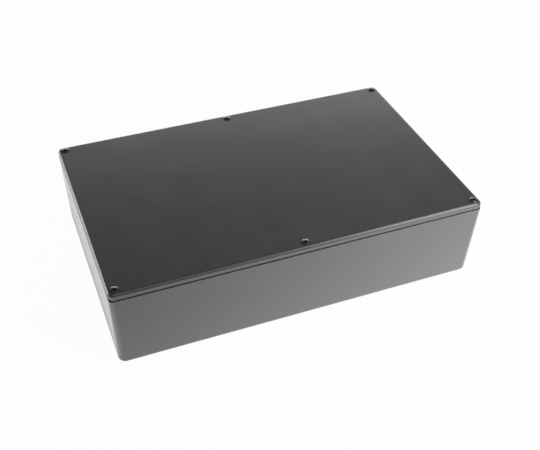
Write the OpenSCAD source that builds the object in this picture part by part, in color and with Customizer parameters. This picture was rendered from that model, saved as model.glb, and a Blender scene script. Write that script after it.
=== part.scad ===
// Die cast aluminium enclosure: a drafted box, a lap joint lid and six lid screws.
// Millimetres, +Z up. The origin is the centre of the underside, +X runs along the length
// and the front faces -Y.

/* [Box] */
// Overall length, at the rim
box_l = 275; // [220:1:360]
// Overall width, at the rim
box_w = 175; // [130:1:240]
// Height from the underside to the top of the lid
box_h = 66; // [45:1:110]
// Wall thickness at the rim
wall_t = 3.4; // [3.2:0.1:4.4]
// Thickness of the floor
floor_t = 3; // [2:0.1:5]
// Draft of the walls, inside and outside, in degrees
wall_draft = 1.5; // [0.5:0.1:3]
// Radius of the upright corners at the underside
foot_corner_r = 5.2; // [3.4:0.1:12]
// Radius of the upright corners at the ledge under the lid
rim_corner_r = 3.4; // [1:0.1:8]
// Radius of the edge round the underside
foot_edge_r = 2.6; // [1:0.1:3.2]
// Radius of the upright corners inside, at the floor
cavity_corner_r = 4; // [3.2:0.1:10]
// Radius where the walls meet the floor inside
cavity_edge_r = 2; // [0.5:0.1:3]

/* [Rim and lid] */
// Height of the visible lid edge, from the lid's top down to the ledge of the box
lid_edge_h = 5.45; // [4.8:0.05:8]
// Open line left between the lid's skirt and the ledge
rim_gap = 0.55; // [0.2:0.05:1]
// Radius of the ledge's outer edge
ledge_edge_r = 0.25; // [0.1:0.05:0.8]
// Radius of the lid's upright corners
lid_corner_r = 4.2; // [4:0.1:8]
// Thickness of the lid's plate
lid_t = 2.5; // [2:0.1:3.4]
// Height of the bead round the lid's top
bead_h = 3; // [2.4:0.1:3.4]
// Radius of the bead's upper edge
bead_r = 2.2; // [0.5:0.1:2.3]
// Radius of the small lower edges of the bead and the skirt
lid_tip_r = 0.3; // [0.1:0.05:0.4]
// Step from the bead in to the skirt
skirt_step = 0.45; // [0.1:0.05:0.7]
// Thickness of the skirt
skirt_t = 1.4; // [1:0.1:1.6]
// Clearance between the skirt and the tongue inside it
lap_clear = 0.2; // [0.1:0.05:0.4]

/* [Screws] */
// Distance from the outline to the screw axes
screw_inset = 5.3; // [5.3:0.1:9]
// Diameter of the shank over the thread
screw_d = 2.9; // [2.4:0.1:3.2]
// Length of a screw from the lid's top down to its tip
screw_l = 12; // [8:1:20]
// Diameter of the countersunk head
head_d = 6; // [5:0.1:6]
// Height of the raised head over the lid
head_h = 0.9; // [0.6:0.1:1.2]
// Height of the upright rim under the head's dome
head_rim = 0.35; // [0.1:0.05:0.5]
// Width of the cross recess's arms
recess_w = 0.8; // [0.5:0.1:1]
// Span of the cross recess at its mouth
recess_span = 3.4; // [2.4:0.1:3.8]
// Span of the cross recess at its floor
recess_foot = 2; // [1.2:0.1:2.4]
// Depth of the cross recess
recess_depth = 1.4; // [0.6:0.1:1.6]
// Bevel at the screw's tip
screw_tip = 0.7; // [0.2:0.1:1]
// Clearance round the shank in its tapped hole
thread_clear = 0.05; // [0.02:0.01:0.1]
// Clearance round the shank in the lid
hole_clear = 0.25; // [0.1:0.05:0.5]
// Depth of the tapped holes past the screws' tips
tapped_spare = 4.5; // [1:0.5:8]
// Depth of the bevel at a tapped hole's mouth
tapped_bevel = 0.4; // [0.1:0.1:0.6]
// Radius of the screw posts at their top
post_r = 4.2; // [3.6:0.1:6]
// Draft of the screw posts, in degrees
post_draft = 1; // [0.5:0.1:1.5]

/* [Card guides] */
// Slot between the two ribs of a guide
guide_slot = 2; // [1.2:0.1:3]
// Thickness of a guide rib
guide_rib_t = 1.6; // [1.2:0.1:2.5]
// Height of a guide rib from the wall
guide_proud = 2; // [1:0.1:3]
// Distance between neighbouring guides
guide_pitch = 56; // [30:1:70]
// Distance from the lid down to the top of the guides
guide_drop = 8; // [4:1:15]

/* [Ejector pads] */
// Diameter of the low pads that the ejector pins leave
pad_d = 7; // [4:0.5:10]
// Height of the pads
pad_h = 0.3; // [0.1:0.1:0.6]
// Distance from the ends of the box to the pads
pad_inset_x = 40; // [25:1:60]
// Distance from the sides of the box to the pads
pad_inset_y = 28; // [20:1:50]

/* [Hidden] */
$fn = 96;
// Facets of a full turn in the hull that makes the outside of the box: corners and rounded edges
shell_fn = 64;
edge_fn = 24;
// How far a cut reaches past the face that it opens
over = 1;

// How far a drafted wall leans over a height
function rise(h) = h * tan(wall_draft);

// Levels of the lap joint
ledge_z = box_h - lid_edge_h;
seat_z = box_h - lid_t;
skirt_z = ledge_z + rim_gap;
bead_z = box_h - bead_h;

// Upright axes that the corners of the lid and the lap turn about
axis_x = box_l / 2 - lid_corner_r;
axis_y = box_w / 2 - lid_corner_r;

// The same for the cavity
cavity_h = seat_z - floor_t;
cavity_axis_x = box_l / 2 - wall_t - rise(cavity_h) - cavity_corner_r;
cavity_axis_y = box_w / 2 - wall_t - rise(cavity_h) - cavity_corner_r;

// The lap, measured from those axes
skirt_out_r = lid_corner_r - skirt_step;
skirt_in_r = skirt_out_r - skirt_t;
tongue_r = skirt_in_r - lap_clear;

// Screw axes: the four corners and the middles of the long sides
screw_x = box_l / 2 - screw_inset;
screw_y = box_w / 2 - screw_inset;
SCREWS = [for (x = [-screw_x, 0, screw_x], y = [-screw_y, screw_y]) [x, y]];

// The raised head's dome, from its width and its rise over the rim
dome_rise = head_h - head_rim;
dome_r = (pow(head_d / 2, 2) + pow(dome_rise, 2)) / (2 * dome_rise);

// Card guides stand in the middle of each wall stretch between two posts
guide_x = screw_x / 2;
guide_top = seat_z - guide_drop;

// Distance from the centre plane to the inner face of a wall whose outline is half_size away
function inner_face(half_size, z) = half_size - wall_t - rise(seat_z - z);

// Sweeps a profile, drawn as radius and height, round a rounded rectangle whose corner axes
// stand at ax and ay. The profile starts at radius 0, and the middle is filled from z0 to z1.
module swept(ax, ay, z0, z1) {
    for (i = [0:3])
        rotate(i * 90) {
            along = i % 2 == 0 ? ay : ax;
            out = i % 2 == 0 ? ax : ay;
            translate([out, along, 0])
                rotate_extrude(angle = 90)
                    children();
            translate([out, along, 0])
                rotate([90, 0, 0])
                    linear_extrude(2 * along)
                        children();
        }
    translate([-ax, -ay, z0])
        cube([2 * ax, 2 * ay, z1 - z0]);
}

// Rings in the four upright corners at height z, where the edge there is rounded with edge_r
module corner_rings(z, corner_r, edge_r) {
    lean = rise(ledge_z - z);
    ring_x = box_l / 2 - lean - corner_r;
    ring_y = box_w / 2 - lean - corner_r;
    for (x = [-ring_x, ring_x], y = [-ring_y, ring_y])
        translate([x, y, z])
            rotate_extrude($fn = shell_fn)
                intersection() {
                    translate([corner_r - edge_r, 0])
                        circle(edge_r, $fn = edge_fn);
                    translate([0, -edge_r])
                        square([corner_r, 2 * edge_r]);
                }
}

// Outside of the box up to its ledge: drafted walls with corners that grow rounder to the foot
module shell() {
    hull() {
        corner_rings(foot_edge_r, foot_corner_r, foot_edge_r);
        corner_rings(ledge_z - ledge_edge_r, rim_corner_r, ledge_edge_r);
    }
}

// Profile of the drafted cavity, with its floor at height 0 and a rounded edge round the floor
module cavity_profile(height) {
    slope = tan(wall_draft);
    tube = [cavity_corner_r + cavity_edge_r * slope - cavity_edge_r / cos(wall_draft), cavity_edge_r];
    polygon([
        [0, 0],
        [tube.x, 0],
        tube + cavity_edge_r * [cos(wall_draft), -sin(wall_draft)],
        [cavity_corner_r + height * slope, height],
        [0, height]
    ]);
    intersection() {
        translate(tube)
            circle(cavity_edge_r);
        square([cavity_corner_r + cavity_edge_r, cavity_edge_r]);
    }
}

// A bar of the lid's profile: from r0 to r1 and z0 to z1, with its outer lower edge rounded
module lid_bar(r0, r1, z0, z1) {
    translate([r0, z0 + lid_tip_r])
        square([r1 - r0, z1 - z0 - lid_tip_r]);
    translate([r0, z0])
        square([r1 - r0 - lid_tip_r, lid_tip_r]);
    translate([r1 - lid_tip_r, z0 + lid_tip_r])
        circle(lid_tip_r);
}

// Plate, bead and skirt, inside an outline with a rounded upper edge
module lid_profile() {
    intersection() {
        union() {
            translate([0, seat_z])
                square([skirt_out_r, lid_t]);
            lid_bar(skirt_in_r, lid_corner_r, bead_z, box_h);
            lid_bar(skirt_in_r, skirt_out_r, skirt_z, box_h);
        }
        union() {
            square([lid_corner_r - bead_r, box_h]);
            square([lid_corner_r, box_h - bead_r]);
            translate([lid_corner_r - bead_r, box_h - bead_r])
                circle(bead_r);
        }
    }
}

// A column that widens downwards and reaches out to the wall on its -Y side
module wall_post() {
    widen = tan(post_draft) * (seat_z + over);
    cylinder(r1 = post_r + widen, r2 = post_r, h = seat_z + over);
    rotate([90, 0, 0])
        linear_extrude(screw_inset)
            polygon([
                [-post_r - widen, 0],
                [post_r + widen, 0],
                [post_r, seat_z + over],
                [-post_r, seat_z + over]
            ]);
}

// One post at each screw; a corner post reaches both of its walls
module posts() {
    for (p = SCREWS)
        translate([p.x, p.y, 0]) {
            rotate(p.y > 0 ? 180 : 0)
                wall_post();
            if (p.x != 0)
                rotate(p.x > 0 ? 90 : -90)
                    wall_post();
        }
}

// Two ribs with a slot between them, on the wall that faces +Y at -half_size
module card_guide(half_size) {
    foot = inner_face(half_size, floor_t);
    top = inner_face(half_size, guide_top);
    for (side = [-1, 1])
        translate([side * (guide_slot + guide_rib_t) / 2 - guide_rib_t / 2, 0, 0])
            rotate([90, 0, 90])
                linear_extrude(guide_rib_t)
                    polygon([
                        [-foot - wall_t, 0],
                        [guide_proud - foot, 0],
                        [guide_proud - top, guide_top - guide_proud],
                        [-top, guide_top],
                        [-top - wall_t, guide_top]
                    ]);
}

module card_guides() {
    for (turn = [0, 180])
        rotate(turn) {
            for (x = [-guide_x, guide_x], step = [-0.5, 0.5])
                translate([x + step * guide_pitch, 0, 0])
                    card_guide(box_w / 2);
            rotate(90)
                for (step = [-0.5, 0.5])
                    translate([step * guide_pitch, 0, 0])
                        card_guide(box_l / 2);
        }
}

// Low round pads in two rows of three, standing on the plane at z
module ejector_pads(z) {
    pad_x = box_l / 2 - pad_inset_x;
    pad_y = box_w / 2 - pad_inset_y;
    for (x = [-pad_x, 0, pad_x], y = [-pad_y, pad_y])
        translate([x, y, z])
            cylinder(d = pad_d, h = pad_h + over);
}

// The hollow of the box, with the posts, the guides and the pads left standing in it
module cavity() {
    difference() {
        translate([0, 0, floor_t])
            swept(cavity_axis_x, cavity_axis_y, 0, cavity_h + over)
                cavity_profile(cavity_h + over);
        posts();
        card_guides();
        ejector_pads(floor_t - over);
    }
}

// Blind hole under a screw, as deep as its shank reaches and a little more
module tapped_hole() {
    hole_r = screw_d / 2 + thread_clear;
    depth = screw_l - lid_t + tapped_spare;
    translate([0, 0, seat_z - depth])
        cylinder(r = hole_r, h = depth + over);
    translate([0, 0, seat_z - tapped_bevel])
        cylinder(r1 = hole_r, r2 = hole_r + tapped_bevel + over, h = tapped_bevel + over);
}

module base() {
    tongue_z = ledge_z - over;
    color([0.09, 0.09, 0.09])
        difference() {
            union() {
                shell();
                swept(axis_x, axis_y, tongue_z, seat_z)
                    translate([0, tongue_z])
                        square([tongue_r, seat_z - tongue_z]);
            }
            cavity();
            for (p = SCREWS)
                translate(p)
                    tapped_hole();
        }
}

// Hole for a screw through the lid, with a countersink of 90 degrees and its mouth at z = 0
module screw_hole() {
    hole_r = screw_d / 2 + hole_clear;
    sink_h = head_d / 2 - hole_r;
    translate([0, 0, -lid_t - over])
        cylinder(r = hole_r, h = lid_t + 2 * over);
    translate([0, 0, -sink_h])
        cylinder(r1 = hole_r, r2 = head_d / 2 + over, h = sink_h + over);
}

module lid() {
    color([0.1, 0.1, 0.1])
        difference() {
            union() {
                swept(axis_x, axis_y, seat_z, box_h)
                    lid_profile();
                ejector_pads(seat_z - pad_h);
            }
            for (p = SCREWS)
                translate([p.x, p.y, box_h])
                    screw_hole();
        }
}

// Raised countersunk head on a shank, drawn with the lid's top at z = 0
module screw_profile() {
    intersection() {
        translate([0, head_h - dome_r])
            circle(dome_r);
        square([head_d / 2, head_h]);
    }
    polygon([
        [0, 0],
        [head_d / 2, 0],
        [screw_d / 2, (screw_d - head_d) / 2],
        [screw_d / 2, screw_tip - screw_l],
        [screw_d / 2 - screw_tip, -screw_l],
        [0, -screw_l]
    ]);
}

// Cross recess: two crossed bars inside a cone
module cross_recess() {
    intersection() {
        translate([0, 0, head_h - recess_depth])
            cylinder(d1 = recess_foot, d2 = recess_span, h = recess_depth);
        for (turn = [0, 90])
            rotate(turn)
                translate([-recess_span / 2, -recess_w / 2, head_h - recess_depth])
                    cube([recess_span, recess_w, recess_depth + over]);
    }
}

module lid_screw() {
    difference() {
        rotate_extrude()
            screw_profile();
        cross_recess();
    }
}

module lid_screws() {
    color([0.05, 0.05, 0.05])
        for (p = SCREWS)
            translate([p.x, p.y, box_h])
                lid_screw();
}

base();
lid();
lid_screws();
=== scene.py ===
import math

import bmesh
import bpy
from mathutils import Matrix, Vector


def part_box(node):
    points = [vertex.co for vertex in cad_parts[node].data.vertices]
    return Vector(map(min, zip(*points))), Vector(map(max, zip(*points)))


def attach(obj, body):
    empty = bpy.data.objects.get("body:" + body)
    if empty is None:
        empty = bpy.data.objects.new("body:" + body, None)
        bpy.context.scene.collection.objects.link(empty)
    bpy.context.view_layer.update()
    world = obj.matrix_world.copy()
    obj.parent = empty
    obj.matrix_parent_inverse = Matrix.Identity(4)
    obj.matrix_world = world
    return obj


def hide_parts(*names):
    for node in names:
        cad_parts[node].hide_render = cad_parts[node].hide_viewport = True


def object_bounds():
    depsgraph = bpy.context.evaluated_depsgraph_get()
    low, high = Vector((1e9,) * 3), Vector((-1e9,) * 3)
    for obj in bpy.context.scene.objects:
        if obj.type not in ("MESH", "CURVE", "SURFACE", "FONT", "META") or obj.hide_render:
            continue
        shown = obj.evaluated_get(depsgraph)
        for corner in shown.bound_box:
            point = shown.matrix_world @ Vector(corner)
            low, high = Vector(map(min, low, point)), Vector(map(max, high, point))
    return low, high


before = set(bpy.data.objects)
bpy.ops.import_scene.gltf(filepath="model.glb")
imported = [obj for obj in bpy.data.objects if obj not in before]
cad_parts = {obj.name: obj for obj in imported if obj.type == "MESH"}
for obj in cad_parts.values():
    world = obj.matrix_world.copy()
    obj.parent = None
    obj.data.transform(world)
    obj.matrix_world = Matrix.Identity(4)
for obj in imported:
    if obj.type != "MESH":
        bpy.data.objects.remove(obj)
cad_low, cad_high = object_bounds()

# One millimetre in Blender's metres
MM = 0.001

# Castings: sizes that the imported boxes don't give
OUTLINE_R = 4.2 * MM
WALL_DRAFT = math.radians(1.5)
LID_EDGE_H = 5.45 * MM

# Where coat gives way to bare metal: depth in from the outer face, and half the width of the change
WALL_COAT_DEPTH = 2.6 * MM
WALL_COAT_EDGE = 0.2 * MM
UNDERSIDE_COAT_DEPTH = 1.5 * MM
UNDERSIDE_COAT_EDGE = 0.3 * MM
SKIRT_COAT_DEPTH = 1.2 * MM
SKIRT_COAT_EDGE = 0.1 * MM
TOP_COAT_DEPTH = 1.5 * MM
TOP_COAT_EDGE = 0.25 * MM

# Overspray on the bare metal: the levels of a noise below which coat covers the metal
OVERSPRAY_AT_RIM = 0.75
OVERSPRAY_AT_SKIRT = 0.7
OVERSPRAY_FAR = 0.15
OVERSPRAY_EDGE = 0.08
OVERSPRAY_REACH = 9.0 * MM
SPECKLE_SIZE = 0.5 * MM

# Powder coat: tones and roughness run through their ranges as the noise goes through its span
COAT_CLOUD_SIZE = 22.0 * MM
COAT_GRAIN_SIZE = 0.42 * MM
COAT_PEEL_SIZE = 2.6 * MM
COAT_SPAN = (0.3, 0.7)
COAT_TONES = (0.052, 0.064)
COAT_BLUE = 0.01
COAT_ROUGHNESS = (0.27, 0.33)
COAT_RELIEF = 0.03 * MM

# Bare die cast aluminium
METAL_FLOW_SIZE = 30.0 * MM
METAL_SPAN = (0.35, 0.65)
METAL_TONES = (0.46, 0.60)
METAL_BLUE = 0.02
METAL_ROUGHNESS = (0.50, 0.38)

# Black plating of the screws
PLATING_CLOUD_SIZE = 1.5 * MM
PLATING_GRAIN_SIZE = 0.12 * MM
PLATING_SPAN = (0.3, 0.7)
PLATING_TONES = (0.11, 0.15)
PLATING_BLUE = 0.02
PLATING_ROUGHNESS = (0.20, 0.28)
PLATING_RELIEF = 0.01 * MM

# Lid screws
HEAD_D = 6.0 * MM
HEAD_H = 0.9 * MM
HEAD_RIM = 0.35 * MM
THREAD_D = 2.9 * MM
THREAD_PITCH = 0.5 * MM
THREAD_DEPTH = 0.27 * MM
THREAD_RUNOUT = 0.6 * MM
# Share of the pitch that is flat on the crest, and again at the root
THREAD_FLAT = 0.1
TIP_BEVEL = 0.7 * MM
RECESS_W = 0.8 * MM
RECESS_SPAN = 3.4 * MM
RECESS_FOOT_W = 0.64 * MM
RECESS_FOOT_SPAN = 2.0 * MM
RECESS_DEPTH = 1.4 * MM
RECESS_OVERCUT = 1.0 * MM
SCREW_SEGMENTS = 48
SCREW_ANGLES = [math.tau * i / SCREW_SEGMENTS for i in range(SCREW_SEGMENTS)]
RINGS_PER_PITCH = 8
DOME_RINGS = 12
SHARP_ANGLE = math.radians(32)
# How far each screw head happens to be turned, in degrees
SCREW_TURNS = (2.0, -16.0, -16.0, -14.0, -32.0, -22.0)

# Floor, just below the part, with its tone and how white the camera sees it, and the panels on it
FLOOR_SIZE = 6.0
FLOOR_DROP = 0.1 * MM
FLOOR_TONE = 0.8
FLOOR_WHITE_SHARE = 0.97
PANEL_HEIGHT = 0.3 * MM

# Room: the Z of directions over which the backdrop ends and the ceiling begins, the Y over which the
# backdrop comes in from the front, and the levels of light
BACKDROP_TOP = (math.sin(math.radians(8)), math.sin(math.radians(22)))
CEILING_FOOT = (math.sin(math.radians(62)), math.sin(math.radians(74)))
BACKDROP_FRONT = (-0.4, -0.1)
BACKDROP_LEVEL = 1.0
CEILING_LEVEL = 0.10
DIM_LEVEL = 0.02

# Camera, fitted to the edges of the box in a 540 x 450 picture
CAMERA_AZIMUTH = math.radians(-21.87)
CAMERA_ELEVATION = math.radians(39.97)
CAMERA_ROLL = math.radians(0.92)
CAMERA_DISTANCE = 635.7 * MM
CAMERA_AIM = Vector((-1.4, -20.3, 33.0)) * MM
PICTURE_W = 540
FOCAL_PIXELS = 839.1
SENSOR_W = 36.0

# Places of the colour sockets on Blender's Mix node
MIX_COLOR_A = 6
MIX_COLOR_B = 7
MIX_COLOR_RESULT = 2


def add_object(name, data):
    """A new object in the scene."""
    made = bpy.data.objects.new(name, data)
    bpy.context.scene.collection.objects.link(made)
    return made


def add_node(tree, kind, inputs=None, **settings):
    """Adds a shader node. An input given as a socket is linked, and any other value is set."""
    made = tree.nodes.new(kind)
    for name, value in settings.items():
        setattr(made, name, value)
    for name, value in (inputs or {}).items():
        if isinstance(value, bpy.types.NodeSocket):
            tree.links.new(value, made.inputs[name])
        else:
            made.inputs[name].default_value = value
    return made


def math_node(tree, operation, a, b=0.0):
    """Result socket of a Math node."""
    return add_node(tree, "ShaderNodeMath", {0: a, 1: b}, operation=operation).outputs[0]


def vector_math(tree, operation, a, b=(0.0, 0.0, 0.0)):
    """Outputs of a Vector Math node."""
    return add_node(tree, "ShaderNodeVectorMath", {0: a, 1: b}, operation=operation).outputs


def axes_of(tree, vector):
    """X, Y and Z sockets of a vector."""
    return add_node(tree, "ShaderNodeSeparateXYZ", {0: vector}).outputs


def map_range(tree, value, from_min, from_max, to_min, to_max, smooth=False):
    """Result socket of a clamped Map Range node."""
    ranges = {
        "Value": value,
        "From Min": from_min,
        "From Max": from_max,
        "To Min": to_min,
        "To Max": to_max,
    }
    kind = "SMOOTHSTEP" if smooth else "LINEAR"
    return add_node(tree, "ShaderNodeMapRange", ranges, interpolation_type=kind).outputs[0]


def past(tree, value, limit, edge):
    """0 where the value is below the limit and 1 above it, changing over an edge on both sides."""
    return map_range(tree, value, limit - edge, limit + edge, 0, 1)


def noise(tree, coords, size, detail=2.0, roughness=0.5):
    """Value socket of a noise whose features are about size across."""
    inputs = {"Vector": coords, "Scale": 1.0 / size, "Detail": detail, "Roughness": roughness}
    return add_node(tree, "ShaderNodeTexNoise", inputs).outputs[0]


def bump(tree, height, strength, distance, normal=None):
    """Normal socket of a Bump node."""
    inputs = {"Height": height, "Strength": strength, "Distance": distance}
    if normal:
        inputs["Normal"] = normal
    return add_node(tree, "ShaderNodeBump", inputs).outputs[0]


def mix_color(tree, factor, a, b):
    """Colour socket of a Mix node."""
    inputs = {"Factor": factor, MIX_COLOR_A: a, MIX_COLOR_B: b}
    return add_node(tree, "ShaderNodeMix", inputs, data_type="RGBA").outputs[MIX_COLOR_RESULT]


def grey(level, blue=0.0):
    """A colour of that level, slightly blue where blue is above 0."""
    return (level, level, level * (1.0 + blue), 1.0)


def tone_ramp(tree, value, span, tones, blue):
    """Colour socket of a ramp between two tones as the value goes through the span."""
    ramp = add_node(tree, "ShaderNodeValToRGB", {"Fac": value})
    for stop, position, tone in zip(ramp.color_ramp.elements, span, tones):
        stop.position = position
        stop.color = grey(tone, blue)
    return ramp.outputs[0]


def new_material(name):
    """An empty node material and its tree."""
    material = bpy.data.materials.new(name)
    material.use_nodes = True
    material.node_tree.nodes.clear()
    return material, material.node_tree


def outline_inset(tree, coords):
    """Distance of a point in from the rounded rectangle that is the box's outline."""
    half = (cad_high - cad_low) / 2
    core = (half.x - OUTLINE_R, half.y - OUTLINE_R, 0.0)
    flat = vector_math(tree, "MULTIPLY", coords, (1, 1, 0))["Vector"]
    spread = vector_math(tree, "ABSOLUTE", flat)["Vector"]
    beyond = vector_math(tree, "SUBTRACT", spread, core)["Vector"]
    corner = vector_math(tree, "MAXIMUM", beyond)["Vector"]
    reach = vector_math(tree, "LENGTH", corner)["Value"]
    sides = axes_of(tree, beyond)
    nearest = math_node(tree, "MAXIMUM", sides["X"], sides["Y"])
    within = math_node(tree, "MINIMUM", nearest, 0.0)
    return math_node(tree, "SUBTRACT", OUTLINE_R, math_node(tree, "ADD", reach, within))


def oversprayed(tree, coords, inside, cover):
    """1 on the metal inside that stays bare, 0 outside and where speckles of coat cover it."""
    speckle = noise(tree, coords, SPECKLE_SIZE, detail=3.0, roughness=0.7)
    clear = past(tree, math_node(tree, "SUBTRACT", speckle, cover), 0.0, OVERSPRAY_EDGE)
    return math_node(tree, "MULTIPLY", inside, clear)


def base_bare(tree, coords):
    """1 on the bare metal inside the box, 0 on its coat, with overspray down from the rim."""
    ledge_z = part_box("lid")[1].z - LID_EDGE_H
    rim_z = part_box("base")[1].z
    z = axes_of(tree, coords)["Z"]
    lean = math_node(tree, "MULTIPLY", math_node(tree, "SUBTRACT", ledge_z, z), math.tan(WALL_DRAFT))
    depth = math_node(tree, "SUBTRACT", outline_inset(tree, coords), lean)
    behind_wall = past(tree, depth, WALL_COAT_DEPTH, WALL_COAT_EDGE)
    above_underside = past(tree, z, UNDERSIDE_COAT_DEPTH, UNDERSIDE_COAT_EDGE)
    inside = math_node(tree, "MULTIPLY", behind_wall, above_underside)
    cover = map_range(tree, z, rim_z - OVERSPRAY_REACH, rim_z, OVERSPRAY_FAR, OVERSPRAY_AT_RIM)
    return oversprayed(tree, coords, inside, cover)


def lid_bare(tree, coords):
    """1 on the bare metal under the lid, 0 on its coat, with overspray in from the skirt."""
    below_top = math_node(tree, "SUBTRACT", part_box("lid")[1].z, axes_of(tree, coords)["Z"])
    depth = outline_inset(tree, coords)
    behind_skirt = past(tree, depth, SKIRT_COAT_DEPTH, SKIRT_COAT_EDGE)
    under_top = past(tree, below_top, TOP_COAT_DEPTH, TOP_COAT_EDGE)
    inside = math_node(tree, "MULTIPLY", behind_skirt, under_top)
    end = SKIRT_COAT_DEPTH + OVERSPRAY_REACH
    cover = map_range(tree, depth, SKIRT_COAT_DEPTH, end, OVERSPRAY_AT_SKIRT, OVERSPRAY_FAR)
    return oversprayed(tree, coords, inside, cover)


def coated_casting(name, bare_mask):
    """Fine satin black powder coat outside, bare die cast aluminium where bare_mask is 1."""
    material, tree = new_material(name)
    coords = add_node(tree, "ShaderNodeTexCoord").outputs["Object"]
    bare = bare_mask(tree, coords)

    clouds = noise(tree, coords, COAT_CLOUD_SIZE, detail=4.0, roughness=0.6)
    grain = noise(tree, coords, COAT_GRAIN_SIZE, roughness=0.6)
    peel = noise(tree, coords, COAT_PEEL_SIZE, detail=1.0)
    coat_mix = math_node(tree, "MULTIPLY", math_node(tree, "ADD", clouds, grain), 0.5)
    coat_color = tone_ramp(tree, coat_mix, COAT_SPAN, COAT_TONES, COAT_BLUE)
    coat_rough = map_range(tree, coat_mix, *COAT_SPAN, *COAT_ROUGHNESS)

    flow = noise(tree, coords, METAL_FLOW_SIZE, detail=6.0, roughness=0.65)
    metal_color = tone_ramp(tree, flow, METAL_SPAN, METAL_TONES, METAL_BLUE)
    metal_rough = map_range(tree, flow, *METAL_SPAN, *METAL_ROUGHNESS)

    waves = bump(tree, peel, strength=0.25, distance=COAT_RELIEF)
    shader = add_node(tree, "ShaderNodeBsdfPrincipled", {
        "Base Color": mix_color(tree, bare, coat_color, metal_color),
        "Metallic": bare,
        "Roughness": map_range(tree, bare, 0, 1, coat_rough, metal_rough),
        "Specular IOR Level": 1.0,
        "Normal": bump(tree, grain, strength=0.35, distance=COAT_RELIEF, normal=waves),
    })
    add_node(tree, "ShaderNodeOutputMaterial", {"Surface": shader.outputs[0]})
    return material


def black_screw():
    """Black plated steel: dark, glossy and a little uneven."""
    material, tree = new_material("black_plated_steel")
    coords = add_node(tree, "ShaderNodeTexCoord").outputs["Object"]
    clouds = noise(tree, coords, PLATING_CLOUD_SIZE, detail=3.0, roughness=0.6)
    grain = noise(tree, coords, PLATING_GRAIN_SIZE, roughness=0.6)
    shader = add_node(tree, "ShaderNodeBsdfPrincipled", {
        "Base Color": tone_ramp(tree, clouds, PLATING_SPAN, PLATING_TONES, PLATING_BLUE),
        "Metallic": 0.78,
        "Roughness": map_range(tree, clouds, *PLATING_SPAN, *PLATING_ROUGHNESS),
        "Normal": bump(tree, grain, strength=0.15, distance=PLATING_RELIEF),
    })
    add_node(tree, "ShaderNodeOutputMaterial", {"Surface": shader.outputs[0]})
    return material


def thread_radius(z, angle, top, tip):
    """Radius of the threaded shank: a ridge that runs out under the head and is bevelled at the tip."""
    turn = (z / THREAD_PITCH - angle / math.tau) % 1.0
    ridge = 1.0 - abs(2.0 * turn - 1.0)
    height = min(1.0, max(0.0, (ridge - THREAD_FLAT) / (1.0 - 2.0 * THREAD_FLAT)))
    started = min(1.0, max(0.0, (top - z) / THREAD_RUNOUT))
    crest = THREAD_D / 2 - max(0.0, TIP_BEVEL - (z - tip))
    return crest - THREAD_DEPTH * (1.0 - height * started)


def head_profile():
    """Radius and height over the lid of points from the head's edge up its rim and over its dome."""
    rise = HEAD_H - HEAD_RIM
    dome_r = ((HEAD_D / 2)**2 + rise**2) / (2 * rise)
    points = [(HEAD_D / 2, 0.0)]
    for step in range(DOME_RINGS):
        r = HEAD_D / 2 * (1 - step / DOME_RINGS)
        points.append((r, HEAD_H - dome_r + math.sqrt(dome_r**2 - r**2)))
    return points


def turned_ring(z, radii):
    """Points of a ring round the Z axis, with a radius for each angle."""
    return [(r * math.cos(angle), r * math.sin(angle), z) for r, angle in zip(radii, SCREW_ANGLES)]


def ring_solid(name, rings):
    """A closed object through rings with the same number of points, from the lowest ring up."""
    mesh = bmesh.new()
    levels = [[mesh.verts.new(point) for point in ring] for ring in rings]
    for low, high in zip(levels, levels[1:]):
        for i, vert in enumerate(low):
            j = (i + 1) % len(low)
            mesh.faces.new((vert, low[j], high[j], high[i]))
    mesh.faces.new(list(reversed(levels[0])))
    mesh.faces.new(levels[-1])
    data = bpy.data.meshes.new(name)
    mesh.to_mesh(data)
    mesh.free()
    return add_object(name, data)


def screw_blank(lid_top, tip):
    """One threaded screw with a raised countersunk head on the Z axis, without its recess."""
    cone_low = lid_top - HEAD_D / 2 + THREAD_D / 2 - THREAD_DEPTH
    count = round((cone_low - tip) / THREAD_PITCH * RINGS_PER_PITCH)
    rings = []
    for k in range(count + 1):
        z = tip + (cone_low - tip) * k / count
        rings.append(turned_ring(z, [thread_radius(z, angle, cone_low, tip) for angle in SCREW_ANGLES]))
    for r, height in head_profile():
        rings.append(turned_ring(lid_top + height, [r] * SCREW_SEGMENTS))
    return ring_solid("lid_screw", rings)


def cross_outline(span, width):
    """Corner points of a cross, anticlockwise."""
    reach, half = span / 2, width / 2
    arm = [(reach, -half), (reach, half), (half, half)]
    points = []
    for quarter in range(4):
        turn = Matrix.Rotation(math.radians(90) * quarter, 2)
        points += [turn @ Vector(p) for p in arm]
    return points


def recess_cutter(crown):
    """A tapered cross that reaches from above the crown down to the recess's floor."""
    levels = (
        (crown - RECESS_DEPTH, RECESS_FOOT_SPAN, RECESS_FOOT_W),
        (crown, RECESS_SPAN, RECESS_W),
        (crown + RECESS_OVERCUT, RECESS_SPAN, RECESS_W),
    )
    rings = []
    for z, span, width in levels:
        rings.append([(p.x, p.y, z) for p in cross_outline(span, width)])
    return ring_solid("recess_cutter", rings)


def screw_mesh(lid_top, tip):
    """The finished screw's mesh: the blank with its cross recess cut."""
    blank = screw_blank(lid_top, tip)
    cutter = recess_cutter(lid_top + HEAD_H)
    cut = blank.modifiers.new("recess", "BOOLEAN")
    cut.object = cutter
    cut.solver = "EXACT"
    bpy.context.view_layer.update()
    done = blank.evaluated_get(bpy.context.evaluated_depsgraph_get())
    data = bpy.data.meshes.new_from_object(done)
    data.name = "lid_screw"
    for piece in (blank, cutter):
        bpy.data.objects.remove(piece)
    data.shade_smooth()
    data.set_sharp_from_angle(angle=SHARP_ANGLE)
    return data


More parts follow.
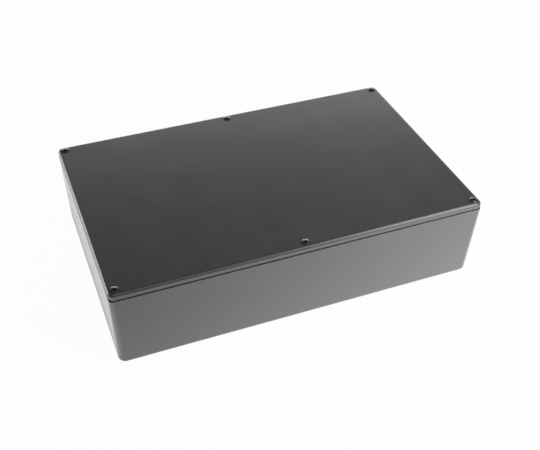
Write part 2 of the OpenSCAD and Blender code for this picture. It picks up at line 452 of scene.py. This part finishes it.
def lid_screws(material):
    """Six threaded screws in place of the plain solids."""
    low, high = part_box("lid_screws")
    data = screw_mesh(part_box("lid")[1].z, low.z)
    data.materials.append(material)
    far_x, far_y = high.x - HEAD_D / 2, high.y - HEAD_D / 2
    places = [(x, y) for x in (-far_x, 0.0, far_x) for y in (-far_y, far_y)]
    for i, (place, turn) in enumerate(zip(places, SCREW_TURNS)):
        screw = add_object(f"lid_screw_{i + 1}", data)
        screw.location = (*place, 0.0)
        screw.rotation_euler.z = math.radians(turn)
        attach(screw, "screws")
        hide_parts("lid_screws")


def dress():
    """Gives the castings their finishes and puts the threaded screws in."""
    finishes = {
        "base": coated_casting("coated_casting_finish", base_bare),
        "lid": coated_casting("coated_lid_finish", lid_bare),
    }
    for node, finish in finishes.items():
        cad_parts[node].material_slots[0].material = finish
    lid_screws(black_screw())


def seen_white(tree):
    """1 for the rays that see the white background: camera, glossy and transmission rays."""
    path = add_node(tree, "ShaderNodeLightPath").outputs
    seen = math_node(tree, "MAXIMUM", path["Is Camera Ray"], path["Is Glossy Ray"])
    return math_node(tree, "MAXIMUM", seen, path["Is Transmission Ray"])


def make_floor():
    """A plain white floor that keeps a faint shadow."""
    mesh = bmesh.new()
    bmesh.ops.create_grid(mesh, x_segments=1, y_segments=1, size=FLOOR_SIZE / 2)
    data = bpy.data.meshes.new("floor")
    mesh.to_mesh(data)
    mesh.free()
    floor = add_object("floor", data)
    floor.location.z = -FLOOR_DROP
    material, tree = new_material("white_floor")
    paper = add_node(tree, "ShaderNodeBsdfDiffuse", {"Color": grey(FLOOR_TONE)})
    white = add_node(tree, "ShaderNodeEmission", {"Color": grey(1.0), "Strength": 1.0})
    share = math_node(tree, "MULTIPLY", seen_white(tree), FLOOR_WHITE_SHARE)
    mixed = add_node(tree, "ShaderNodeMixShader", {0: share, 1: paper.outputs[0], 2: white.outputs[0]})
    add_node(tree, "ShaderNodeOutputMaterial", {"Surface": mixed.outputs[0]})
    data.materials.append(material)


def make_world():
    """A low white backdrop round the back and sides, and a dim ceiling. The camera sees plain white."""
    world = bpy.data.worlds.new("studio")
    world.use_nodes = True
    tree = world.node_tree
    tree.nodes.clear()
    direction = add_node(tree, "ShaderNodeTexCoord").outputs["Generated"]
    axes = axes_of(tree, direction)
    low = map_range(tree, axes["Z"], *BACKDROP_TOP, BACKDROP_LEVEL, DIM_LEVEL, smooth=True)
    behind = map_range(tree, axes["Y"], *BACKDROP_FRONT, DIM_LEVEL, BACKDROP_LEVEL, smooth=True)
    backdrop = math_node(tree, "MULTIPLY", low, behind)
    ceiling = map_range(tree, axes["Z"], *CEILING_FOOT, DIM_LEVEL, CEILING_LEVEL, smooth=True)
    room = math_node(tree, "MAXIMUM", backdrop, ceiling)
    camera_ray = add_node(tree, "ShaderNodeLightPath").outputs["Is Camera Ray"]
    level = math_node(tree, "MAXIMUM", room, camera_ray)
    background = add_node(tree, "ShaderNodeBackground", {"Color": grey(1.0), "Strength": level})
    add_node(tree, "ShaderNodeOutputWorld", {"Surface": background.outputs[0]})
    bpy.context.scene.world = world


def area_lamp(name, width, depth, radiance):
    """A rectangular area lamp that the camera doesn't see."""
    lamp = bpy.data.lights.new(name, "AREA")
    lamp.shape = "RECTANGLE"
    lamp.size, lamp.size_y = width, depth
    lamp.energy = math.pi * width * depth * radiance
    made = add_object(name, lamp)
    made.visible_camera = False
    return made


def softbox(name, azimuth, elevation, distance, width, height, radiance):
    """An area lamp that faces the object. Azimuth 0 is behind the object, 90 degrees at its right."""
    turn, rise = math.radians(azimuth), math.radians(elevation)
    out = Vector((math.sin(turn) * math.cos(rise), math.cos(turn) * math.cos(rise), math.sin(rise)))
    made = area_lamp(name, width, height, radiance)
    made.location = (cad_low + cad_high) / 2 + distance * out
    made.rotation_euler = (-out).to_track_quat("-Z", "Y").to_euler()


def floor_panel(name, low, high, left, right, foot=0.0, reach=0.1):
    """An area lamp flat on the floor, facing up. Its radiance goes from left to right along X, and
    within reach of its back edge it grows by foot."""
    width, depth = high[0] - low[0], high[1] - low[1]
    made = area_lamp(name, width, depth, radiance=1.0)
    made.location = ((low[0] + high[0]) / 2, (low[1] + high[1]) / 2, PANEL_HEIGHT)
    made.rotation_euler.x = math.pi
    made.data.use_nodes = True
    tree = made.data.node_tree
    tree.nodes.clear()
    axes = axes_of(tree, add_node(tree, "ShaderNodeNewGeometry").outputs["Parametric"])
    across = map_range(tree, axes["X"], 0, 1, left, right)
    near_back = map_range(tree, axes["Y"], 0, reach / depth, foot, 0)
    glow = add_node(tree, "ShaderNodeEmission", {"Strength": math_node(tree, "ADD", across, near_back)})
    add_node(tree, "ShaderNodeOutputLight", {"Surface": glow.outputs[0]})


def make_lights():
    """A key at the right in front, softboxes above and round the back, and light panels on the floor."""
    softbox("key_softbox", azimuth=139, elevation=27, distance=0.65, width=0.3, height=0.58, radiance=4.3)
    softbox("top_softbox", azimuth=108, elevation=52, distance=0.65, width=0.34, height=0.28, radiance=3.4)
    softbox("front_softbox", azimuth=172, elevation=62, distance=0.9, width=0.6, height=0.22, radiance=1.7)
    softbox("left_softbox", azimuth=-52, elevation=12, distance=0.95, width=0.56, height=0.5, radiance=3.7)
    softbox("back_softbox", azimuth=15, elevation=16.5, distance=0.95, width=1.08, height=0.38, radiance=2.3)
    floor_panel("front_panel", low=(-0.14, -0.5), high=(0.22, -0.083), left=0.01, right=1.2,
                foot=0.28, reach=0.05)
    floor_panel("left_panel", low=(-0.5, -0.2), high=(-0.14, 0.35), left=0.55, right=0.55)


def make_camera():
    """The camera at the photograph's angle."""
    lens = bpy.data.cameras.new("camera")
    lens.sensor_width = SENSOR_W
    lens.lens = FOCAL_PIXELS / PICTURE_W * SENSOR_W
    camera = add_object("camera", lens)
    level = math.cos(CAMERA_ELEVATION)
    back = Vector((
        math.sin(CAMERA_AZIMUTH) * level,
        -math.cos(CAMERA_AZIMUTH) * level,
        math.sin(CAMERA_ELEVATION),
    ))
    turned = (-back).to_track_quat("-Z", "Y").to_matrix() @ Matrix.Rotation(CAMERA_ROLL, 3, "Z")
    camera.matrix_world = Matrix.Translation(CAMERA_AIM + CAMERA_DISTANCE * back) @ turned.to_4x4()
    bpy.context.scene.camera = camera


dress()
make_floor()
make_world()
make_lights()
make_camera()
bpy.context.scene.view_settings.view_transform = "Standard"
